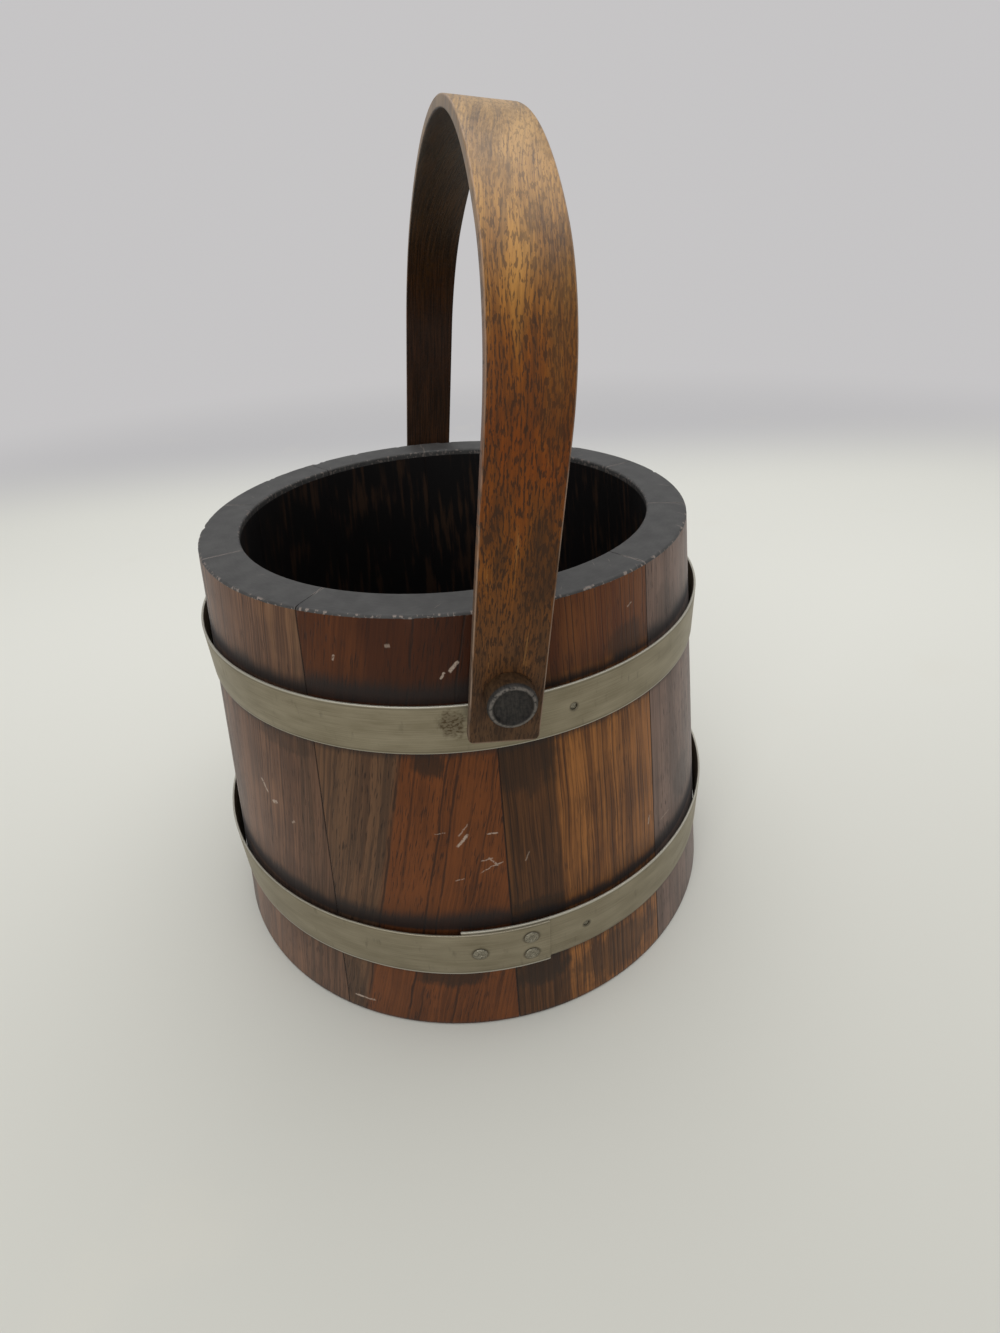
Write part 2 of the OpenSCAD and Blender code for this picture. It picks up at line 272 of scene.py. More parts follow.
# Each stave's own board: light and deep tones, how far the grain leans, the gap between growth lines,
# a streaked zone from one grain line to another, and its stains and scuffs as (across, up, ...) in millimetres.
plainStave = {"light": (0.120, 0.048, 0.020), "deep": (0.050, 0.019, 0.009), "lean": 0.0, "gap": 3.4,
              "lines": 0.35, "pores": 0.8,
              "zone": None, "zoneDeep": (0.055, 0.033, 0.019), "zoneLight": (0.130, 0.070, 0.035),
              "topTone": (0.060, 0.020, 0.008), "topShare": 0.0, "blots": [], "scuffs": [], "marks": [],
              # the first two keys on the next line set how high the painted shade reaches above the upper and the
              # lower hoop
              "shadeAboveUpper": 6.0, "shadeAboveLower": 6.0, "seed": 0.0}
staveLooks = [
    {"light": (0.285, 0.110, 0.026), "deep": (0.096, 0.034, 0.009), "gap": 2.7, "lines": 0.75, "pores": 0.5,
     "seed": 1.0,
     "zone": (-60, -14.5, 0.86, 0.0), "zoneDeep": (0.027, 0.011, 0.004), "zoneLight": (0.080, 0.031, 0.010),
     "topTone": (0.078, 0.018, 0.005), "topShare": 0.7, "shadeAboveUpper": 2.0, "shadeAboveLower": 2.5,
     "blots": [(-27, 138, 14, 17, 0.75), (23, 173, 12, 7, 0.6), (-27, 27, 14, 10, 0.95),
               (-27, 64, 13, 6, 0.8), (10, 18, 26, 15, 0.65)],
     "scuffs": [(33.5, 79.5, 5, 0.8, 80, 0.7), (26, 186, 3, 0.7, 20, 0.5), (-29, 92, 5, 0.7, 65, 0.35)]},
    # stave 2's light and deep tones are raised and greyed: its own wood plus a painted sheen of glare from the
    # backdrop on this side
    {"light": (0.185, 0.112, 0.082), "deep": (0.100, 0.058, 0.042), "gap": 4.2, "lines": 0.3, "seed": 2.0,
     "blots": [(-8, 82, 13, 12, 0.5), (-22, 178, 9, 9, 0.4)], "scuffs": [(-28, 73, 8, 0.5, 3, 0.5)]},
    {"light": (0.140, 0.055, 0.024), "deep": (0.050, 0.020, 0.010), "lean": 0.08, "gap": 3.1, "lines": 0.55,
     "seed": 3.0,
     "zone": (6, 60, 0.6, 0.0), "blots": [(10, 120, 10, 14, 0.5)], "scuffs": [(12, 112, 9, 0.7, 40, 0.5)]},
    {"light": (0.105, 0.040, 0.019), "deep": (0.040, 0.016, 0.009), "lean": -0.06, "gap": 3.8, "lines": 0.5,
     "seed": 4.0,
     "blots": [(-14, 140, 12, 9, 0.6), (9, 70, 16, 8, 0.6)]},
    {"light": (0.175, 0.070, 0.026), "deep": (0.066, 0.026, 0.011), "lean": 0.12, "gap": 2.9, "lines": 0.5,
     "seed": 5.0,
     "zone": (-60, -6, 0.7, 0.0), "blots": [(20, 60, 12, 12, 0.6)],
     "scuffs": [(4, 96, 7, 0.8, 55, 0.6), (8, 100, 5, 0.6, 35, 0.5)]},
    {"light": (0.190, 0.082, 0.032), "deep": (0.070, 0.029, 0.012), "gap": 2.5, "lines": 0.7, "seed": 6.0,
     "blots": [(-20, 175, 14, 6, 0.6), (6, 26, 16, 8, 0.6)]},
    {"light": (0.118, 0.052, 0.030), "deep": (0.050, 0.022, 0.013), "lean": 0.1, "gap": 4.4, "lines": 0.3,
     "seed": 7.0,
     "blots": [(12, 90, 14, 20, 0.4)], "scuffs": [(-10, 66, 11, 0.6, 8, 0.5)]},
    {"light": (0.150, 0.060, 0.025), "deep": (0.055, 0.022, 0.010), "lean": -0.1, "gap": 3.2, "lines": 0.5,
     "seed": 8.0,
     "zone": (4, 60, 0.65, 0.0), "blots": [(-18, 128, 10, 14, 0.5)]},
    {"light": (0.178, 0.086, 0.045), "deep": (0.080, 0.037, 0.020), "lean": 0.115, "gap": 4.6, "lines": 0.3,
     "pores": 0.5, "seed": 9.0,
     "zone": (24.5, 60, 0.8, 0.0), "zoneDeep": (0.050, 0.026, 0.014), "zoneLight": (0.125, 0.062, 0.034),
     "blots": [(20, 140, 18, 5, 0.5), (28, 192, 12, 22, -0.45)],
     "scuffs": [(1.5, 110, 7, 1.4, -55, 0.7), (8, 104.5, 4, 1.6, 20, 0.8), (19, 99, 2.5, 1.0, 40, 0.5)]},
    {"light": (0.145, 0.042, 0.009), "deep": (0.076, 0.022, 0.005), "lean": 0.2, "gap": 5.2, "lines": 0.12,
     "seed": 10.0,
     "zone": (-60, -10.9, 0.8, 2.5), "topTone": (0.030, 0.007, 0.002), "topShare": 0.8, "shadeAboveUpper": 9.0,
     "shadeAboveLower": 8.0,
     "marks": [(9.6, 0.75), (14.2, 0.7), (-9.2, 0.7), (28.4, 0.6), (-2.5, 0.3), (21, 0.35)],
     "blots": [(10, 140, 7, 6, 0.9), (12, 30, 18, 6, 0.85), (-33, 16, 5, 22, 0.5)],
     "scuffs": [(20.6, 104.5, 7.5, 1.2, 52, 0.8), (21.2, 109.5, 7, 0.6, 54, 0.5),
                (12, 108.5, 4.5, 0.5, 5, 0.5), (32.5, 106.5, 4.5, 0.7, -4, 0.7),
                (29.5, 94, 5, 0.6, 12, 0.6), (32, 92.5, 6, 0.7, -52, 0.6), (33.5, 91, 5, 0.6, 18, 0.6),
                (29, 89, 6, 0.5, 30, 0.5), (18, 85, 4, 0.6, 15, 0.5),
                (-29, 8.5, 10, 1.1, 2, 0.8), (19, 176.3, 3.2, 0.9, 50, 0.8), (23.5, 179.5, 5.4, 1.2, 45, 0.9),
                (-0.5, 188, 2.2, 1.6, 10, 0.45), (-23, 182, 2.6, 0.9, 70, 0.6)]},
]


def staveWood(number, look):
    material, sheet = newMaterial(f"staveWood{number:02d}")
    look = {**plainStave, **look}
    turn, radius, up = bodyPlace(sheet)
    mid = 36 * number - 18
    across = (turn - (mid if mid < 180 else mid - 360)) * perDegree
    seed = look["seed"]
    drift = (sheet.cloud(across * 0.03, up * 0.008, seed) - 0.5) * 9
    grain = across - (up - 100) * look["lean"] + drift * 0.5 + (sheet.cloud(across * 0.2, up * 0.03, seed
                                                                            + 3) - 0.5) * 1.6
    fine = sheet.cloud(grain * 0.9, up * 0.016, seed, detail=5.0, roughness=0.62)
    broad = sheet.cloud(grain * 0.13, up * 0.005, seed + 1)
    mottle = sheet.cloud(across * 0.05, up * 0.035, seed + 2, detail=3.0)
    tone = (0.5 + (fine - 0.5) * 1.9 + (broad - 0.5) * 1.5 + (mottle - 0.5) * 0.9).rise(0.12, 0.9)
    colour = sheet.blend(look["deep"], look["light"], tone)

    # growth lines, each with a sharp dark edge, and the short dark pores between them
    straight = grain - drift * 0.5
    edge = sheet.math("PINGPONG", grain / look["gap"], 0.5).rise(0.13, 0.0)
    edge = edge * sheet.cloud(grain * 0.3, up * 0.02, seed + 4).rise(0.3, 0.6) * look["lines"]
    pores = sheet.cloud(grain * 1.7, up * 0.13, seed + 5, detail=1.0).rise(0.575, 0.675) * look["pores"]
    pores = pores * sheet.cloud(grain * 0.09, up * 0.012, seed + 6).rise(0.34, 0.56)
    dark = edge.most(pores * 0.85)
    if look["zone"]:
        start, end, strength, soft = look["zone"]
        inZone = straight.rise(start - 1, start + 1) * straight.rise(end + 0.8 + soft, end - 0.8)
        streaks = sheet.cloud(grain * 0.55, up * 0.012, seed + 7, detail=4.0, roughness=0.65).rise(0.40, 0.60)
        fade = up.rise(168, 146) if number in (1, 10) else 1.0
        colour = sheet.blend(colour, sheet.blend(look["zoneDeep"], look["zoneLight"], streaks), inZone
                             * strength * fade)
    if look["topShare"]:
        paler = across.rise(-8, -14) * 0.35 if number == 10 else 0.0
        colour = sheet.blend(colour, look["topTone"], up.rise(166, 171) * (look["topShare"] - paler))
    wander = straight + (sheet.cloud(up * 0.05, across * 0.05, seed + 13) - 0.5) * 3
    broken = sheet.cloud(up * 0.09, across * 0.1, seed + 14).rise(0.25, 0.5)
    for place, strength in look["marks"]:
        dark = dark.most(abs(wander - place).rise(0.75, 0.1) * broken * strength)
    colour = sheet.blend(colour, darkPore, dark)

    # painted shade: ragged dark bands in the creases above the hoops, under them and along the foot
    rag = (sheet.cloud(across * 0.07, up * 0.02, seed + 8, detail=3.0)
           - 0.5) * 14 + (sheet.cloud(grain * 0.8, up * 0.03, seed + 9) - 0.5) * 7
    creaseShade = (up.rise(164, 166) * (up + rag * 0.5).rise(168 + look["shadeAboveUpper"], 165 + look["shadeAboveUpper"]
                                                       * 0.5)).most(
        up.rise(57, 59) * (up + rag * 0.6).rise(62 + look["shadeAboveLower"], 59 + look["shadeAboveLower"] * 0.5)
                                                                    * up.rise(120, 100))
    creaseShade = creaseShade.most((up + rag * 0.2).rise(141.5, 145) * up.rise(150, 148)
                       * 0.75).most((up + rag * 0.1).rise(31, 34.5) * up.rise(40, 36) * 0.6)
    creaseShade = (creaseShade * 0.92).most((up + rag * 0.12).rise(2.6, 0.4) * 0.55)
    patches = None
    ragged = (sheet.cloud(across * 0.22, up * 0.12, seed + 15, detail=4.0) - 0.5) * 1.3 + (fine - 0.5) * 0.8
    for x, y, wide, high, strength in look["blots"]:
        far = sheet.math("SQRT", ((across - x) / wide) * ((across - x) / wide) + ((up - y) / high)
                         * ((up - y) / high))
        blot = (far + ragged).rise(1.15, 0.65)
        if strength < 0:
            colour = sheet.blend(colour, (0.20, 0.105, 0.045), blot * -strength * tone)
        else:
            patches = blot * strength if patches is None else patches.most(blot * strength)
    if patches:
        colour = sheet.blend(colour, burnt, patches * 0.9)
    hazy = (up.rise(184, 166) * up.rise(164, 166)).most(up.rise(82, 60)
                                                        * up.rise(57, 59)) * mottle.rise(0.30, 0.60)
    colour = sheet.blend(colour, burnt, hazy * 0.5)
    # painted shade: the crease bands darken the wood
    colour = sheet.blend(colour, paintedShadeDark, creaseShade * 0.95)

    # the seams, and what has been knocked and scraped
    seam = (18 - abs(across / perDegree)) * perDegree
    colour = sheet.blend(colour, darkPore, seam.rise(0.55, 0.12) * 0.8)
    # the chipped rim
    scrape = (up + (sheet.cloud(across * 0.35, up * 0.4, 40, detail=3.0) - 0.5) * 3.4).rise(198.1,
                                                                                            198.6) * 0.45
    uneven = (sheet.cloud(across * 0.5, up * 0.5, seed + 16) - 0.5) * 1.2
    torn = sheet.cloud(across * 1.1, up * 1.1, seed + 17).rise(0.28, 0.5)
    for x, y, length, width, lean, strength in look["scuffs"]:
        c, s = math.cos(math.radians(lean)), math.sin(math.radians(lean))
        along = abs((across - x) * c + (up - y) * s).rise(length * 0.55, length * 0.4)
        aside = abs((up - y) * c - (across - x) * s + uneven).rise(width * 0.65, width * 0.25)
        scrape = scrape.most(along * aside * torn * strength)
    hairs = sheet.cloud(across * 0.12, up * 2.4, seed + 11).rise(0.66, 0.76) * sheet.cloud(across * 0.03, up
                                                                                           * 0.05, seed + 12).rise(0.5, 0.7)
    colour = sheet.blend(colour, darkPore, hairs * 0.35)
    colour = sheet.blend(colour, scuffPale, scrape)

    rough = 0.40 + fine * 0.12 + dark * 0.15 + creaseShade * 0.05
    height = 0.0 - dark + fine * 0.35 - scrape * 0.6 + sheet.cloud(across * 0.25, up * 0.08, 21) * 0.8
    return finishMaterial(material, sheet, colour, rough, height, bump=0.35, depth=0.00025,
                          Specular_IOR_Level=0.16, Sheen_Weight=0.10, Sheen_Roughness=0.45)


def rimPaint():
    material, sheet = newMaterial("rimPaint")
    turn, radius, up = bodyPlace(sheet)
    across = turn * 1.8
    worn = sheet.cloud(across * 0.12, radius * 0.12, 1, detail=4.0)
    fine = sheet.cloud(across * 0.35, radius * 1.6, 2, detail=4.0)
    colour = sheet.blend((0.033, 0.031, 0.030), (0.057, 0.055, 0.052),
                         (worn * 0.6 + fine * 0.5).rise(0.35, 0.75))
    # each joint between two staves shows as a hair crack with a pale lip
    fromSeam = abs(sheet.math("PINGPONG", turn / 72, 0.5) * 72)   # degrees from the nearest seam
    fromSeam = fromSeam.least(36 - fromSeam) * 1.8 + (sheet.cloud(radius * 0.3, turn * 0.2, 3) - 0.5) * 1.2
    opened = sheet.cloud(turn * 0.05, radius * 0.05, 5).rise(0.40, 0.55)
    colour = sheet.blend(colour, (0.21, 0.18, 0.16), abs(fromSeam - 0.35).rise(0.30, 0.08) * opened * 0.75)
    colour = sheet.blend(colour, (0.008, 0.007, 0.006), abs(fromSeam).rise(0.28, 0.05) * 0.7)
    # chipped edges, and a few strokes across the face
    chips = sheet.cloud(across * 0.55, up * 0.5, 7, detail=3.0)
    outerEdge = radius.rise(106.9, 107.9) * chips.rise(0.53, 0.60)
    innerEdge = radius.rise(92.1, 91.3) * chips.rise(0.55, 0.62) * 0.5
    strokes = sheet.cloud(across * 0.5 + radius * 0.35, radius * 0.04 - across * 0.03, 9).rise(0.70,
                                                                                               0.735) * 0.35
    bare = outerEdge.most(innerEdge).most(strokes)
    colour = sheet.blend(colour, (0.27, 0.22, 0.19), bare * 0.8)
    height = 0.0 - bare + fine * 0.5 - abs(fromSeam).rise(0.3, 0.05)
    return finishMaterial(material, sheet, colour, 0.50 + fine * 0.1, height, bump=0.35, depth=0.0002,
                          Specular_IOR_Level=0.4)


def insidePaint():
    material, sheet = newMaterial("insidePaint")
    turn, radius, up = bodyPlace(sheet)
    across = turn * 1.7
    streaks = sheet.cloud(across * 0.35, up * 0.03, 1, detail=4.0)
    worn = (streaks + sheet.cloud(across * 0.04, up * 0.03, 2, detail=3.0) * 0.6).rise(0.80, 1.0)
    colour = sheet.blend((0.0045, 0.0035, 0.0035), (0.030, 0.015, 0.008), worn)
    return finishMaterial(material, sheet, colour, 0.55 + streaks * 0.1, streaks, bump=0.3, depth=0.0003,
                          Specular_IOR_Level=0.25)


def boardWood():
    material, sheet = newMaterial("boardWood")
    split = sheet.node("SeparateXYZ", {}, {0: sheet.node("TexCoord", out="Object")})
    x, y, z = split * 1000, split.sibling(1) * 1000, split.sibling(2) * 1000
    grain = x + (sheet.cloud(x * 0.04, y * 0.01, 4) - 0.5) * 12
    fine = sheet.cloud(grain * 0.5, y * 0.02, z * 0.2, detail=5.0, roughness=0.6)
    rings = sheet.math("PINGPONG", grain / 6.5, 0.5).rise(0.2, 0.0)
    pores = sheet.cloud(grain * 1.4, y * 0.1, 3, detail=1.0).rise(0.6, 0.7)
    bare = z.rise(15.5, 14.5)      # the underside was never stained
    top = sheet.blend((0.006, 0.005, 0.004), (0.020, 0.012, 0.008), fine)
    under = sheet.blend((0.20, 0.125, 0.068), (0.33, 0.22, 0.125), fine.rise(0.3, 0.7))
    under = sheet.blend(under, (0.11, 0.062, 0.032), rings * 0.5)
    colour = sheet.blend(sheet.blend(top, under, bare), darkPore, pores * 0.5)
    return finishMaterial(material, sheet, colour, 0.62 + fine * 0.1, fine - pores, bump=0.3, depth=0.0003,
                          Specular_IOR_Level=0.3)


def dowelWood():
    material, sheet = newMaterial("dowelWood")
    split = sheet.node("SeparateXYZ", {}, {0: sheet.node("TexCoord", out="Object")})
    fine = sheet.cloud(split * 30, split.sibling(1) * 900, split.sibling(2) * 900, detail=3.0)
    return finishMaterial(material, sheet, sheet.blend((0.40, 0.26, 0.13), (0.56, 0.40, 0.22), fine), 0.6
                          + fine * 0.1, fine)


# body

staveShape = {"angleSteps": 40, "seamBevel": 0.22, "rimRound": 1.0, "nick": 0.65,
              "rows": [2.5, 8, 18, 30, 36, 48, 58, 64, 76, 90, 104, 118, 132, 144, 150, 160, 168, 176, 184,
                       190, 194, 196.5]}


def staveSection():  # (radius, height, material) round the section of a stave
    h, b, wall = body["height"], staveShape["rimRound"], body["wall"]
    grooveTop = body["bottomFrom"] + body["bottomThick"] + 0.2
    inner = lambda up: wallRadius(up) - wall
    points = [(r, z, 0) for r, z in roundCorner((wallRadius(b) - b, b), b, -90, 0)]
    points += [(wallRadius(z), z, 0) for z in staveShape["rows"]]
    points += [(r, z, 1) for r, z in roundCorner((wallRadius(h - b) - b, h - b), b, 0, 90, 5)]
    points += [(wallRadius(h) - k, h, 1) for k in (2.4, 4.5, 7, 10, 12.5, 14.6)]
    points += [(r, z, 1) for r, z in roundCorner((inner(h - b) + b, h - b), b, 90, 180)]
    points += [(inner(z), z, 2) for z in (196, 185, 160, 120, 80, 45, grooveTop)]
    depth = inner(body["bottomFrom"]) + body["grooveDepth"]
    points += [(depth, grooveTop, 2), (depth, body["bottomFrom"], 2),
               (inner(body["bottomFrom"]), body["bottomFrom"], 0)]
    points += [(r, z, 0) for r, z in roundCorner((inner(b) + b, b), b, 180, 270)]
    return points


def nickDepth(turn):  # how deep the outer edge of the rim is knocked away
    a = turn * 1.885
    deep = max(0, tremble(a * 0.16, 0, 1) + 0.5 * tremble(a * 0.7, 0, 2) - 0.36)
    return min(staveShape["nick"], deep * 2.2) + 0.05 * (1 + tremble(a * 0.5, 0, 3))


def makeStave(number):
    section = staveSection()
    steps = staveShape["angleSteps"]
    start = 36 * (number - 1)
    edge = math.degrees(staveShape["seamBevel"] / 119)
    turns = [start, start + edge] + [start + 36 * k / steps for k in range(1, steps)] + [start + 36 - edge,
                                                                                         start + 36]
    middle = (wallRadius(99) - 8.5, 99)
    rings = []
    for turn in turns:
        shrink = staveShape["seamBevel"] if turn in (turns[0], turns[-1]) else 0
        ring = []
        for radius, up, kind in section:
            if shrink:   # the corners along the seam are eased
                radius += shrink * (1 if radius < middle[0] + (99 - up) * 0.11 else -1)
                up += shrink * (1 if up < 1 else -1 if up > 198 else 0)
            if kind < 2 and up > 188:
                nick = nickDepth(turn) * max(0, 1 - math.hypot(radius - wallRadius(199) - 0.2, (up - 199)
                                                               * 0.55) / 2.6)
                radius, up = radius - nick * 0.8, up - nick
            elif kind == 0 and 3 < up < 190:    # planed by hand, so never quite true
                radius -= 0.10 * (1 + tremble(turn * 0.09, up * 0.02, 5))
            ring.append(around(radius, turn, up))
        rings.append(ring)
    verts, faces = loft(rings)
    kinds = [kind for radius, up, kind in section]
    slots = [kinds[k] for ring in rings[:-1] for k in range(len(section))] + [0, 0]
    materials = [staveWood(number, staveLooks[number - 1]), paints["rim"], paints["inside"]]
    piece = makeObject(f"staveShaped{number:02d}", verts, faces, materials, slots)
    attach(piece, "bucket")
    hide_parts(f"stave_{number:02d}")
    return piece


paints = {"rim": rimPaint(), "inside": insidePaint()}
staves = [makeStave(number) for number in range(1, body["staves"] + 1)]
print("staves made:", len(staves))

bottom = {"middleWidth": 76, "gap": 0.35, "round": 0.8, "radius": 117.25}


def makeBoard(name, node, fromX, toX, material):
    radius, low = bottom["radius"], body["bottomFrom"]
    high = low + body["bottomThick"]
    xs = [fromX + (toX - fromX) * (0.5 - 0.5 * math.cos(math.pi * k / 48)) for k in range(49)]
    outline = [(x, -math.sqrt(max(0, radius ** 2 - x * x))) for x in xs]
    outline += [(x, math.sqrt(max(0, radius ** 2 - x * x))) for x in reversed(xs)]
    outline = [p for k, p in enumerate(outline) if math.dist(p, outline[k - 1]) > 0.01]
    centre = Vector(((fromX + toX) / 2, 0))
    rings = []
    for inset, up in ((bottom["round"], low), (0.25, low + 0.25), (0, low + bottom["round"]),
                      (0, high - bottom["round"]), (0.25, high - 0.25), (bottom["round"], high)):
        ring = []
        for x, y in outline:
            toCentre = centre - Vector((x, y))
            step = Vector((x, y)) + toCentre * (inset / max(30, toCentre.length))
            ring.append(Vector((step.x, step.y, up)) * mm)
        rings.append(ring)
    piece = makeObject(name, *loft(rings), [material])
    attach(piece, "bucket")
    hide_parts(node)


wood = boardWood()
half = bottom["middleWidth"] / 2
makeBoard("bottomLeft", "bottom_board_left", -bottom["radius"], -half - bottom["gap"] / 2, wood)
makeBoard("bottomMiddle", "bottom_board_middle", -half + bottom["gap"] / 2, half - bottom["gap"] / 2, wood)
makeBoard("bottomRight", "bottom_board_right", half + bottom["gap"] / 2, bottom["radius"], wood)
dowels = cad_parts["bottom_dowels"]
dowels.data.materials.clear()
dowels.data.materials.append(dowelWood())
print("bottom made")

# hoops

hoops = {
    "upper": {"low": 145.5, "width": 21, "end": 187, "slip": 0.5, "seed": 1},
    "lower": {"low": 35, "width": 25, "end": 7, "slip": 0.9, "seed": 2},
    "thick": 1.0, "lap": 17, "climb": 20, "fit": 0.05, "lapGap": 0.05, "round": 0.28, "step": 1.0,
    "rivetPitch": 10.6, "rivetTurns": (3.8, 3.8, 13.7), "bradTurns": (15, 135, 255), "hole": 2.7,
}


def rivetSpots(hoop):
    middle = hoop["low"] + hoop["width"] / 2
    drop = hoops["rivetPitch"] / 2
    return [(hoop["end"] - turn, middle + rise) for turn, rise in zip(hoops["rivetTurns"], (-drop, drop, 0))]


def stripSteel(name, hoop):
    material, sheet = newMaterial(name)
    turn, radius, up = bodyPlace(sheet)
    across = turn * 2.1
    low, wide, seed = hoop["low"], hoop["width"], hoop["seed"] * 5.0
    brushed = sheet.cloud(across * 0.035, up * 3.2, seed, detail=4.0, roughness=0.6)
    cloudy = sheet.cloud(across * 0.05, up * 0.16, seed + 1, detail=4.0)
    spots = sheet.cloud(across * 0.9, up * 0.9, seed + 2, detail=2.0).rise(0.70, 0.78)
    smears = sheet.cloud(across * 0.35, up * 0.09, seed + 3, detail=3.0).rise(0.60, 0.78)
    colour = sheet.blend((0.202, 0.170, 0.108), (0.340, 0.296, 0.208),
                         (brushed * 0.75 + cloudy * 0.6 - 0.18).rise(0.2, 0.8))
    colour = sheet.blend(colour, (0.13, 0.11, 0.075), (smears * 0.35).most(spots * 0.4))
    # painted highlight along the rolled edges, with a darker line just inside them
    fromEdge = (up - low).least(low + wide - up) + (cloudy - 0.5) * 0.3
    colour = sheet.blend(colour, (0.11, 0.095, 0.065), abs(fromEdge - 0.95).rise(0.5, 0.1) * 0.35)
    # painted highlight: a pale band along both edges of each hoop
    colour = sheet.blend(colour, (0.55, 0.53, 0.46), fromEdge.rise(0.62, 0.2) * 0.7)
    # painted shade: a dark ring round each rivet head and in and around each brad hole
    fixingShade = None
    spotsAt = [(t, z, 3.25, 0.75) for t, z in rivetSpots(hoop)] + [(t, low + wide / 2, 1.5, 0.9)
                                                                   for t in hoops["bradTurns"]]
    for t, z, reach, strength in spotsAt:
        t = (t + 180) % 360 - 180
        aside, high = (turn - t) * 2.15, up - z
        far = sheet.math("SQRT", aside * aside + high * high)
        ring = far.rise(reach + 1.1, reach - 0.1) * strength
        fixingShade = ring if fixingShade is None else fixingShade.most(ring)
    colour = sheet.blend(colour, (0.055, 0.045, 0.030), fixingShade * 0.8)
    if hoop is hoops["upper"]:   # a brown painted reflection beside the near end of the handle, with darker streaks
        far = sheet.math("SQRT", ((turn + 8) / 2.9) * ((turn + 8) / 2.9) + ((up - 158.5) / 6.5)
                         * ((up - 158.5) / 6.5))
        # painted reflection: a brown patch with darker streaks on the bright metal
        paintedReflection = (far + (sheet.cloud(across * 0.35, up * 0.3, 7, detail=4.0) - 0.5) * 1.5).rise(1.1, 0.55)
        reflectionStreaks = sheet.cloud(across * 0.5 + up * 0.5, up * 0.9 - across * 0.4, 8, detail=3.0).rise(0.45, 0.62)
        colour = sheet.blend(colour, (0.075, 0.050, 0.026), paintedReflection * (0.45 + reflectionStreaks * 0.5))
    rough = 0.42 + brushed * 0.14 + smears * 0.1
    height = brushed + cloudy * 0.6
    return finishMaterial(material, sheet, colour, rough, height, bump=0.22, depth=0.00012, Metallic=0.82)


def makeHoop(name, node, hoop):
    start = hoop["end"] - hoops["lap"]
    inner = wallRadius(hoop["low"]) + hoops["fit"]
    total = 360 + hoops["lap"]
    thick, wide, r = hoops["thick"], hoop["width"], hoops["round"]
    corner = lambda x, y, a: roundCorner((x, y), r, a, a + 90, 3)
    steps = round(total / hoops["step"])
    ease = math.degrees(0.25 / inner)
    rings = []
    for k, turned in enumerate([0, ease] + [total * k / steps for k in range(1, steps)]
                               + [total - ease, total]):
        small = 0.22 if turned in (0, total) else 0
        section = (corner(thick - r - small, r + small, -90)
                   + [(thick - small, wide * f) for f in (0.2, 0.4, 0.6, 0.8)]
                   + corner(thick - r - small, wide - r - small, 0) + corner(r, wide - r - small, 90)
                   + corner(r, r + small, 180))
        lift = (thick + hoops["lapGap"]) * min(max((turned - 360 + hoops["climb"]) / hoops["climb"], 0), 1)
        drop = hoop["slip"] * (0.5 - turned / total)
        rings.append([around(inner + lift + depth, start + turned, hoop["low"] + drop + high) for depth,
                      high in section])
    piece = makeObject(name, *loft(rings), [stripSteel(name + "Steel", hoop)])
    pierce(piece, [outward(turn, inner + thick, hoop["low"] + wide / 2) for turn in hoops["bradTurns"]],
           hoops["hole"], 1.6)
    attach(piece, "bucket")
    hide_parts(node)
    return piece


# round holes with an eased mouth, along each frame's Z
def pierce(piece, frames, wide, reach, sharpAngle=35):
    profile = [(0, -reach), (wide / 2, -reach), (wide / 2, -0.25), (wide / 2 + 0.3, 0.02),
               (wide / 2 + 0.3, reach), (0, reach)]
    cutter = makeObject("drill", *placed(lathe(profile, 32), frames), [])
    cutter.hide_render = True
    cut = piece.modifiers.new("holes", "BOOLEAN")
    cut.object, cut.operation, cut.solver = cutter, "DIFFERENCE", "EXACT"
    applyModifiers(piece)
    bpy.data.objects.remove(cutter)
    work = bmesh.new()
    work.from_mesh(piece.data)
    softenFaces(work, sharpAngle)
    work.to_mesh(piece.data)
    work.free()


def applyModifiers(piece):
    bpy.context.view_layer.update()
    evaluated = piece.evaluated_get(bpy.context.evaluated_depsgraph_get())
    finished = bpy.data.meshes.new_from_object(evaluated)
    piece.modifiers.clear()
    piece.data = finished


def fixingSteel():
    material, sheet = newMaterial("fixingSteel")
    turn, radius, up = bodyPlace(sheet)
    grit = sheet.cloud(turn * 5, up * 2.5, radius * 2.5, detail=4.0)
    colour = sheet.blend((0.13, 0.115, 0.080), (0.34, 0.31, 0.24), grit.rise(0.35, 0.65))
    return finishMaterial(material, sheet, colour, 0.42 + grit * 0.15, grit, bump=0.3, depth=0.0001,
                          Metallic=0.8)


rivet = {"head": 6.3, "high": 0.7, "dimple": 2.0, "shank": 3.0}
brad = {"head": 2.5, "shank": 1.6, "sunk": 0.45, "bite": 8}


def rivetProfile():
    head, high, dimple, shank = rivet["head"] / 2, rivet["high"], rivet["dimple"] / 2, rivet["shank"] / 2
    return [(0, -2.1), (shank, -2.1), (shank, 0), (head - 0.1, 0), (head, 0.12), (head - 0.08, 0.3),
            (head - 0.4, 0.52), (head - 0.9, high),
            (dimple + 0.55, high), (dimple + 0.15, high - 0.1), (dimple * 0.8, 0.28), (dimple * 0.4, 0.12),
            (0, 0.1)]


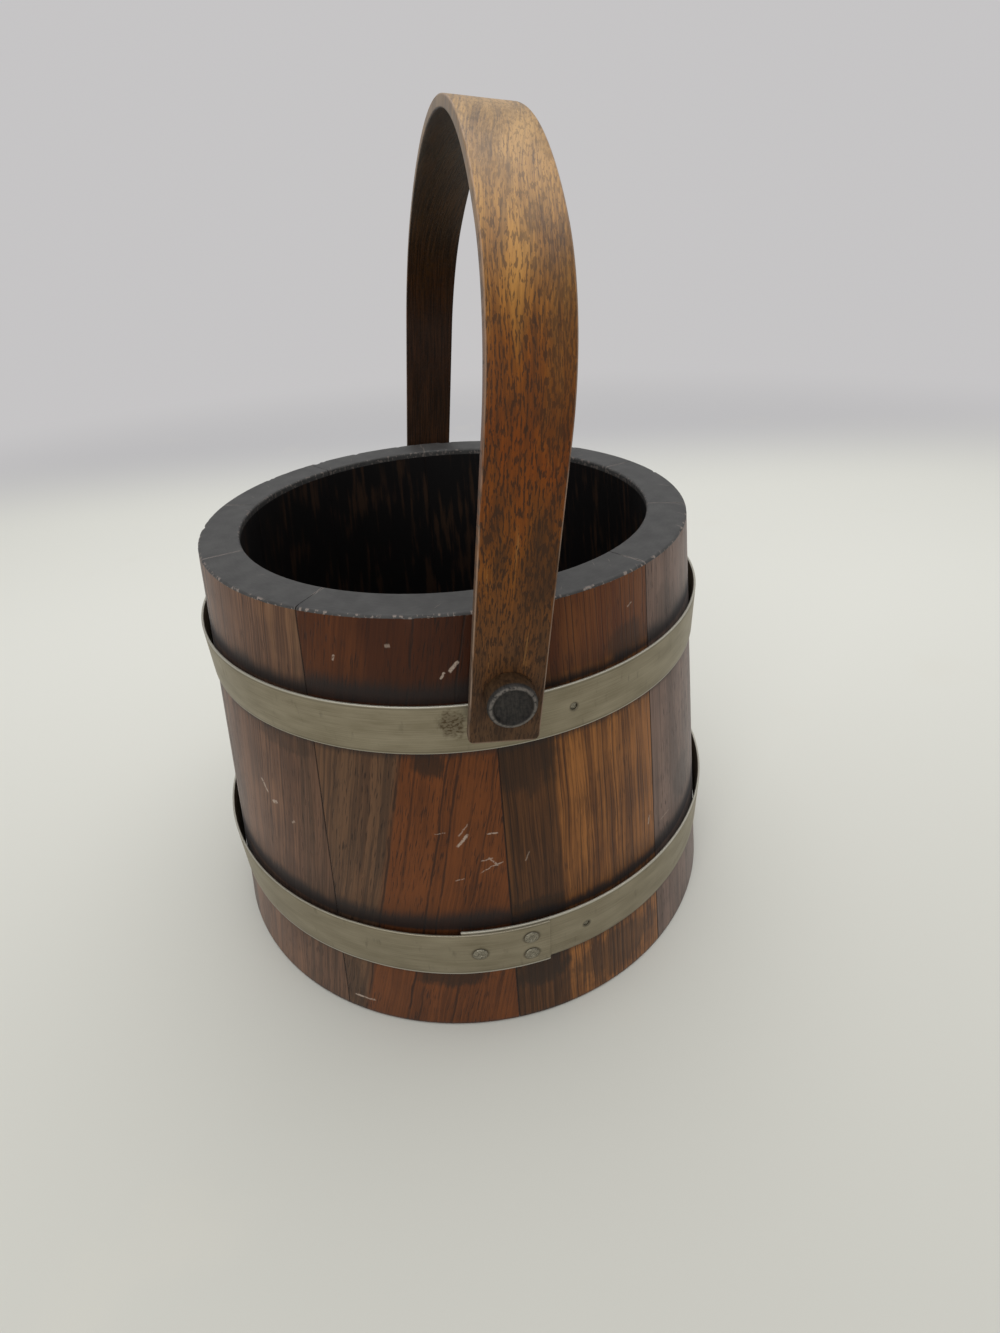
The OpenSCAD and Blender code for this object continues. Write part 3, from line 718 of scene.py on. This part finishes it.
fixing = fixingSteel()
for side, hoop in (("upper", hoops["upper"]), ("lower", hoops["lower"])):
    makeHoop(f"{side}Strip", f"{side}_hoop", hoop)
    inner = wallRadius(hoop["low"]) + hoops["fit"]
    seat = inner + 2 * hoops["thick"] + 2 * hoops["lapGap"]
    rivets = makeObject(f"{side}Rivets", *placed(lathe(rivetProfile(), 40),
                                                 [outward(turn, seat, up) for turn, up in rivetSpots(hoop)]),
                        [fixing])
    middle = hoop["low"] + hoop["width"] / 2
    deep = inner + hoops["thick"] - wallRadius(middle) + brad["bite"]
    profile = [(0, -deep), (brad["shank"] / 2, -deep), (brad["shank"] / 2, -1.1), (brad["head"] / 2, -0.9),
               (brad["head"] / 2, -brad["sunk"] - 0.1), (brad["head"] / 2 - 0.2, -brad["sunk"]),
               (0, -brad["sunk"] - 0.05)]
    brads = makeObject(f"{side}Brads", *placed(lathe(profile, 24),
                                               [outward(turn, inner + hoops["thick"], middle)
                                                for turn in hoops["bradTurns"]]), [fixing])
    for piece, node in ((rivets, f"{side}_hoop_rivets"), (brads, f"{side}_hoop_brads")):
        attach(piece, "bucket")
        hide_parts(node)
print("hoops made")

# pins

pin = {"x": 3.1, "up": 175.0, "shank": 12, "head": 17.2, "headLong": 8.5, "dish": 13.6, "dishDeep": 1.2,
       "bevel": 1.4, "deep": 11, "spacer": 16, "spacerHole": 12.1, "sideGap": 0.3}
strap = {"wide": 25.4, "thick": 4.0, "leg": 83.5, "rise": 87, "bend": 66.5, "tail": 20.4, "tailRound": 2.5,
         "lean": 6.4,
         "outer": 123.66, "hole": 12.16, "edge": 0.55, "step": 3.0}


def pinWood():
    material, sheet = newMaterial("pinWood")
    split = sheet.node("SeparateXYZ", {}, {0: sheet.node("TexCoord", out="Object")})
    x, y, z = split * 1000 - pin["x"], abs(split.sibling(1) * 1000), split.sibling(2) * 1000 - pin["up"]
    out = sheet.math("SQRT", x * x + z * z)
    grit = sheet.cloud(x * 0.7, z * 0.7, y * 0.5, detail=5.0, roughness=0.6)
    grain = sheet.cloud(x * 1.6, z * 0.25, y * 0.2, detail=4.0)
    sides = sheet.blend((0.018, 0.009, 0.004), (0.058, 0.030, 0.013), (grit + grain * 0.4).rise(0.45, 0.85))
    face = sheet.blend((0.013, 0.012, 0.011), (0.036, 0.031, 0.027),
                       (grit * 0.7 + grain * 0.5).rise(0.42, 0.78))
    front = y.rise(130.0, 131.0)
    colour = sheet.blend(sides, face, front)
    lip = abs(out - 7.5).rise(0.8, 0.15) * front * y.rise(130.8, 131.8) * grit.rise(0.30, 0.55)
    colour = sheet.blend(colour, (0.17, 0.15, 0.13), lip * 0.75)
    cracks = sheet.cloud(x * 0.9 + z * 0.3, z * 0.12, 6, detail=3.0).rise(0.66, 0.72) * front
    colour = sheet.blend(colour, (0.004, 0.004, 0.004), cracks * 0.7)
    return finishMaterial(material, sheet, colour, 0.48 + grit * 0.15, grit - cracks * 0.6 + grain * 0.4,
                          bump=0.4, depth=0.0002, Specular_IOR_Level=0.18)


def pinFrame(side, y):  # Z points out of the wall along the pins' line
    return Matrix.Translation(Vector((pin["x"], -y if side == "near" else y, pin["up"]))
                              * mm) @ Matrix.Rotation(
        math.radians(90 if side == "near" else -90), 4, "X")


seat = abs(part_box("near_spacer")[1].y) / mm
spacerLong = (abs(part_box("near_spacer")[0].y) - abs(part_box("near_spacer")[1].y)) / mm
headFrom = strap["outer"] + pin["sideGap"] - seat
stained = pinWood()


def pinProfile():
    shank, head, dish = pin["shank"] / 2, pin["head"] / 2, pin["dish"] / 2
    top = headFrom + pin["headLong"]
    profile = [(0, -pin["deep"] + 0.1), (shank - 0.4, -pin["deep"] + 0.1), (shank, -pin["deep"] + 0.6),
               (shank, headFrom), (head - 0.35, headFrom),
               (head - 0.08, headFrom + 0.12), (head, headFrom + 0.4), (head, headFrom + 3),
               (head - 0.05, top - pin["bevel"] - 0.4)]
    profile += [(r, z) for r, z in roundCorner((head - pin["bevel"], top - pin["bevel"]), pin["bevel"]
                                               - 0.05, 0, 90, 6)]
    profile += [(dish + 0.1, top), (dish - 0.12, top - 0.12), (dish - 0.3, top - 0.6),
                (dish - 0.6, top - pin["dishDeep"] + 0.1),
                (dish - 1.2, top - pin["dishDeep"]), (dish * 0.5, top - pin["dishDeep"] + 0.06),
                (0, top - pin["dishDeep"] + 0.1)]
    return profile


for side in ("near", "far"):
    verts, faces = lathe(pinProfile(), 72)
    place = pinFrame(side, seat)
    worn = []
    for point in verts:   # the head was turned by hand and has been knocked since
        p = point / mm
        r = math.hypot(p.x, p.y)
        if r > 1 and p.z > headFrom + 1:
            a = math.atan2(p.y, p.x)
            r2 = r * (1 - 0.006 * (1 + tremble(math.cos(a) * 1.3, math.sin(a) * 1.3, 4 if side == "near"
                                               else 9)))
            p = Vector((p.x * r2 / r, p.y * r2 / r, p.z - 0.10 * (1 + tremble(p.x * 0.3, p.y * 0.3, 6))))
        worn.append(place @ (p * mm))
    piece = makeObject(f"{side}PinTurned", worn, faces, [stained])
    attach(piece, "bucket")
    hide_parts(f"{side}_pin")
    outside, bore = pin["spacer"] / 2, pin["spacerHole"] / 2
    profile = [(bore, 0), (outside, 0), (outside, spacerLong - 0.5), (outside - 0.15, spacerLong - 0.15),
               (outside - 0.5, spacerLong),
               (bore + 0.3, spacerLong), (bore, spacerLong - 0.3), (bore, 0)]
    verts, faces = lathe(profile, 56)
    piece = makeObject(f"{side}SpacerTurned", [place @ point for point in verts], faces, [stained])
    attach(piece, "bucket")
    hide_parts(f"{side}_spacer")
print("pins made")

# handle strap

# the crown's radius, the angle where the bend meets it, and the lengths of leg, bend and half the crown
def strapArcs():
    outer, bend, rise = strap["outer"], strap["bend"], strap["rise"]
    crown = ((outer - bend) ** 2 + rise ** 2 - bend ** 2) / (2 * (rise - bend))
    turnOff = math.atan2(crown - rise, outer - bend)
    return crown, turnOff, [strap["tail"] + strap["leg"], bend * turnOff, crown * (math.pi / 2 - turnOff)]


# along from the near end, across, and deep from the outer face, for a point of the upright strap
def strapPlace(point):
    x, y, z = point / mm
    bend, leg = strap["bend"], strap["leg"]
    crown, turnOff, lengths = strapArcs()
    out = abs(y)
    angle = math.atan2(z - leg, out - strap["outer"] + bend)
    if z <= leg:
        s, depth = z + strap["tail"], strap["outer"] - out
    elif angle < turnOff:
        s, depth = lengths[0] + bend * angle, bend - math.hypot(z - leg, out - strap["outer"] + bend)
    else:
        over = z - leg - strap["rise"] + crown
        s, depth = lengths[0] + lengths[1] + crown * (math.atan2(over, out)
                                                      - turnOff), crown - math.hypot(out, over)
    return (s if y < 0 else 2 * sum(lengths) - s, x, depth)


# the outer face at s from the near end: outward to the near side, up, and the angle it faces
def strapPath():
    outer, bend, rise, leg = strap["outer"], strap["bend"], strap["rise"], strap["leg"]
    crown, turnOff, lengths = strapArcs()
    halfLong = sum(lengths)

    def at(s):
        near = s <= halfLong
        t = s if near else 2 * halfLong - s
        if t < lengths[0]:
            y, z, facing = outer, t - strap["tail"], 0
        elif t < lengths[0] + lengths[1]:
            facing = (t - lengths[0]) / bend
            y, z = outer - bend + bend * math.cos(facing), leg + bend * math.sin(facing)
        else:
            facing = turnOff + (t - lengths[0] - lengths[1]) / crown
            y, z = crown * math.cos(facing), leg + rise - crown + crown * math.sin(facing)
        return (y, z, facing) if near else (-y, z, math.pi - facing)

    return at, 2 * halfLong


def makeStrap():
    at, long = strapPath()
    wide, thick, r, tail = strap["wide"] / 2, strap["thick"], strap["edge"], strap["tailRound"]
    ends = [0, 0.12, 0.4, 0.9, 1.5, 2.0, 2.5]
    count = round((long - 2 * ends[-1]) / strap["step"])
    stops = ends + [ends[-1] + (long - 2 * ends[-1]) * k / count for k in range(1, count)] + [long - e
                                                                                              for e in reversed(ends)]
    rings = []
    for s in stops:
        y, z, facing = at(s)
        fromEnd = min(s, long - s)
        narrow = tail - math.sqrt(max(0, tail ** 2 - (tail - fromEnd) ** 2)) if fromEnd < tail else 0
        thin = 0.35 * max(0, 1 - fromEnd / 0.4) ** 2
        w = wide - narrow - thin * 0.5
        section = []
        for corner, angle in (((w - r, r + thin), -90), ((w - r, thick - r - thin), 0),
                              ((r - w, thick - r - thin), 90), ((r - w, r + thin), 180)):
            section += roundCorner(corner, r, angle, angle + 90, 3)
            if angle == 0:
                section += [(w * f, thick - thin) for f in (0.6, 0.2, -0.2, -0.6)]
            if angle == 180:
                section += [(w * f, thin) for f in (-0.6, -0.2, 0.2, 0.6)]
        ring = []
        for u, depth in section:     # the bent face dips and swells by a hair
            sway = 0.10 * (1 + tremble(s * 0.03, u * 0.08, 12)) if depth < thick / 2 else 0
            d = depth + sway
            ring.append(Vector((u, -(y - d * math.cos(facing)), z - d * math.sin(facing))) * mm)
        rings.append(ring)
    turned = Matrix.Translation(Vector((pin["x"], 0, pin["up"]))
                                * mm) @ Matrix.Rotation(math.radians(strap["lean"]), 4, "Y")
    verts, faces = loft([[turned @ point for point in ring] for ring in rings])
    piece = makeObject("handleStrap", verts, faces, [strapWood(long)])
    holes = [turned @ Matrix.Rotation(math.radians(90 * way), 4,
                                      "X") @ Matrix.Translation(Vector((0, 0, strap["outer"])) * mm)
             for way in (1, -1)]
    pierce(piece, holes, strap["hole"], 9)
    upright = turned.inverted()
    place = piece.data.attributes.new("strapPlace", "FLOAT_VECTOR", "POINT")
    place.data.foreach_set("vector", [c for vertex in piece.data.vertices
                                      for c in strapPlace(upright @ vertex.co)])
    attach(piece, "handle")
    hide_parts("bail_handle")
    return piece


def strapWood(long):
    material, sheet = newMaterial("strapWood")
    split = sheet.node("SeparateXYZ", {}, {0: sheet.node("Attribute", {"attribute_name": "strapPlace"},
                                                         out="Vector")})
    s, u, depth = split, split.sibling(1), split.sibling(2)
    reach = s.least(long - s)                       # from the nearer end
    grain = u + (sheet.cloud(u * 0.06, s * 0.012, 1) - 0.5) * 7 - reach.rise(130, 240) * (reach - 130) * 0.10
    fine = sheet.cloud(grain * 1.3, s * 0.035, 2, detail=5.0, roughness=0.65)
    broad = sheet.cloud(grain * 0.16, s * 0.022, 3, detail=3.0)
    fleck = sheet.cloud(grain * 1.5, s * 0.26, 4, detail=2.5, roughness=0.6)
    # tone along the strap: brown at the end, redder up the leg, golden in the bend and tan over the top
    base = sheet.node("ValToRGB", {"stops": [
        (0.0, (0.085, 0.045, 0.022)), (0.13, (0.125, 0.052, 0.018)), (0.26, (0.180, 0.058, 0.008)),
                                             (0.37, (0.185, 0.046, 0.006)),
        (0.46, (0.240, 0.074, 0.008)), (0.60, (0.440, 0.215, 0.045)), (0.80, (0.460, 0.262, 0.085)),
                                             (1.0, (0.440, 0.265, 0.105))]},
        {0: (reach + (broad - 0.5) * 60) / (long / 2)})
    colour = sheet.blend(base, (0.045, 0.022, 0.010), (fine * 0.8 + broad * 0.5).rise(0.78, 0.42) * 0.75)
    colour = sheet.blend(colour, (0.40, 0.23, 0.075), (broad * 0.8 + fine * 0.5).rise(0.74, 0.92)
                         * reach.rise(150, 60) * 0.55)
    much = sheet.node("ValToRGB", {"stops": [(0.0, (0.75,) * 3), (0.25, (0.85,) * 3), (0.5, (0.7,) * 3),
                                             (0.65, (0.45,) * 3), (1.0, (0.3,) * 3)]},
                      {0: reach / (long / 2)})
    patches = sheet.cloud(u * 0.11 - s * 0.02, s * 0.035, 7, detail=4.0)
    right = u.rise(-2, 9) * (reach.rise(100, 112) * reach.rise(160, 148)).most(reach.rise(48, 56)
                                                                               * reach.rise(84, 70))
    thick = (patches + right * 0.12).rise(0.47, 0.62)
    flecks = (fleck + thick * 0.055).rise(0.52, 0.575) * much
    colour = sheet.blend(colour, (0.030, 0.016, 0.009), flecks.most(thick * 0.55 * much))
    # painted shade darkens the face towards the bucket; both edges are rubbed pale
    # painted shade: the inner face is coloured near black
    inner = depth.rise(3.3, 3.9)
    colour = sheet.blend(colour, sheet.blend((0.010, 0.005, 0.0025), (0.034, 0.014, 0.006),
                                             fine.rise(0.4, 0.65)), inner * 0.94)
    sides = abs(u).rise(12.35, 12.65) * (1 - inner)
    colour = sheet.blend(colour, (0.155, 0.110, 0.080), sides * 0.55)
    rubbed = abs(u).rise(12.05, 12.4) * depth.rise(0.75, 0.25) * sheet.cloud(s * 0.08, u, 9).rise(0.3, 0.5)
    foot = reach.rise(0.9, 0.3) * depth.rise(1.2, 0.3)
    colour = sheet.blend(colour, (0.34, 0.235, 0.165), rubbed.most(foot) * 0.6)
    rough = 0.36 + fine * 0.14 + flecks * 0.12
    height = fine * 0.5 - flecks * 0.8 + broad * 0.6
    coat = reach.rise(90, 190) * 0.3 * (1 - inner)
    return finishMaterial(material, sheet, colour, rough, height, bump=0.35, depth=0.00022, coat=coat,
                          Specular_IOR_Level=0.14, Coat_Roughness=0.34)


makeStrap()
print("handle made")

# floor, light and camera

# near and bright are floor tones that paint a pool of light, dim by the camera and brightest ahead of the bucket
stage = {"near": (0.560, 0.552, 0.500), "bright": (0.760, 0.752, 0.690), "wall": (0.565, 0.555, 0.560),
         "heading": 9.46,
         "sky": 0.50, "top": 15.5, "side": 7.0}


def stageFloor():
    work = bmesh.new()
    bmesh.ops.create_circle(work, cap_ends=True, segments=96, radius=14)
    mesh = bpy.data.meshes.new("stageFloor")
    work.to_mesh(mesh)
    work.free()
    floor = bpy.data.objects.new("stageFloor", mesh)
    bpy.context.scene.collection.objects.link(floor)
    floor.location.z = -0.0002
    material, sheet = newMaterial("palePaper")
    split = sheet.node("SeparateXYZ", {}, {0: sheet.node("TexCoord", out="Object")})
    x, y = split, split.sibling(1)
    a = math.radians(stage["heading"])
    ahead = x * math.sin(a) + y * math.cos(a)
    # painted light on the floor: darker near the camera, brightest in a band ahead of the bucket, then fading into
    # the backdrop's grey
    colour = sheet.blend(stage["near"], stage["bright"], ahead.rise(-0.45, 0.35))
    colour = sheet.blend(colour, stage["wall"], ahead.rise(0.55, 0.95))
    grain = sheet.cloud(x * 9, y * 9, 1, detail=5.0)
    colour = sheet.blend(colour, (0.70, 0.66, 0.57), grain.rise(0.62, 0.75) * 0.12)
    paper = sheet.node("BsdfPrincipled", {}, {"Base Color": colour, "Roughness": 0.7,
                                              "Specular IOR Level": 0.2})
    far = sheet.math("SQRT", x * x + y * y).rise(0.75, 1.5)
    glow = sheet.node("Emission", {}, {"Color": shade(stage["wall"]), "Strength": 1.0})
    seen = seenByEye(sheet)
    sheet.node("OutputMaterial", {}, {"Surface": sheet.node("MixShader", {},
                                                            {0: far * seen, 1: paper, 2: glow})})
    mesh.materials.append(material)
    floor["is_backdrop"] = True
    return floor


def seenByEye(sheet):
    path = sheet.node("LightPath", out="Is Camera Ray")
    return path.most(path.sibling("Is Glossy Ray")).most(path.sibling("Is Transmission Ray"))


def lampAt(name, place, target, size, power):
    light = bpy.data.lights.new(name, "AREA")
    light.shape, light.energy = "RECTANGLE", power
    light.size, light.size_y = size
    lamp = bpy.data.objects.new(name, light)
    bpy.context.scene.collection.objects.link(lamp)
    lamp.location = place
    lamp.rotation_euler = (Vector(target) - Vector(place)).to_track_quat("-Z", "Y").to_euler()
    return lamp


def skyLight():
    world = bpy.data.worlds.new("paleRoom")
    bpy.context.scene.world = world
    world.use_nodes = True
    world.node_tree.nodes.clear()
    sheet = Wire(world.node_tree)
    room = sheet.node("Background", {}, {"Color": (0.97, 0.985, 1.0, 1), "Strength": stage["sky"]})
    wall = sheet.node("Background", {}, {"Color": shade(stage["wall"]), "Strength": 1.0})
    eye = sheet.node("LightPath", out="Is Camera Ray")
    sheet.node("OutputWorld", {}, {"Surface": sheet.node("MixShader", {}, {0: eye, 1: room, 2: wall})})


def makeCamera():
    eye = {"place": (-0.0311, -0.3156, 0.3090), "heading": 0.1652, "down": 0.5636, "roll": -0.0563,
           "lens": 19.17}
    h, p, r = eye["heading"], eye["down"], eye["roll"]
    ahead = Vector((math.sin(h) * math.cos(p), math.cos(h) * math.cos(p), -math.sin(p)))
    level = Vector((math.cos(h), -math.sin(h), 0))
    above = level.cross(ahead)
    right = level * math.cos(r) + above * math.sin(r)
    upward = above * math.cos(r) - level * math.sin(r)
    data = bpy.data.cameras.new("phoneView")
    data.lens, data.sensor_width, data.clip_start = eye["lens"], 36, 0.01
    camera = bpy.data.objects.new("phoneView", data)
    bpy.context.scene.collection.objects.link(camera)
    camera.matrix_world = Matrix.Translation(eye["place"]) @ Matrix((right, upward,
                                                                     -ahead)).transposed().to_4x4()
    bpy.context.scene.camera = camera


stageFloor()
skyLight()
lampAt("softTop", (0.15, 0.2, 1.6), (0, 0, 0.1), (1.6, 1.6), stage["top"])
lampAt("softFront", (-0.7, -1.3, 0.9), (0, 0, 0.1), (0.9, 0.9), stage["side"])
makeCamera()
bpy.context.scene.view_settings.view_transform = "Standard"
print("stage made")

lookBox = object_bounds()
{"cad": [list(corner) for corner in cadBox], "visual": [list(corner) for corner in lookBox]}
